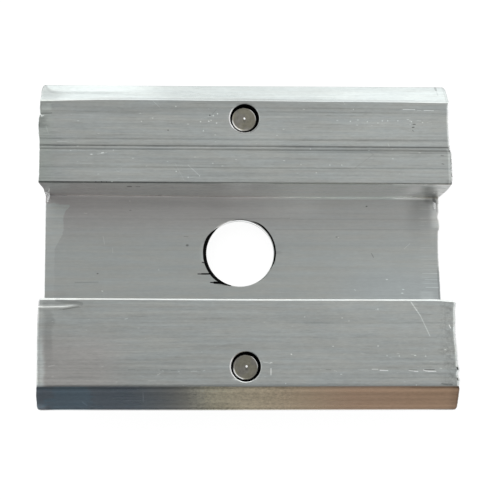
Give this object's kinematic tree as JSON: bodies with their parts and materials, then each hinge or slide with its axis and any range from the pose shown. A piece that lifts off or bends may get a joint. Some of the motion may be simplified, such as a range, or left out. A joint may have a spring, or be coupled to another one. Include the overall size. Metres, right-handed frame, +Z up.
{
  "type": "solar panel mid clamp",
  "caption": "Extruded aluminium mid clamp for solar panels: a channel with a bolt bore in its floor and a wing to each side, each with a pressed-in grounding pin.",
  "frame": {"origin": "where the bolt bore's axis meets the underside of the channel", "axes": "+Z up along the bolt bore, +X along the extrusion, +Y towards the wing with the die line"},
  "size_m": [0.0503, 0.04, 0.0116],
  "materials": {
    "extruded_aluminium": "mill finish, drawn lines along the extrusion",
    "pin_steel": "turned stainless steel"
  },
  "bodies": {
    "root": {"clamp_body": "extruded_aluminium", "grounding_pin_front": "pin_steel", "grounding_pin_back": "pin_steel"}
  },
  "joints": []
}
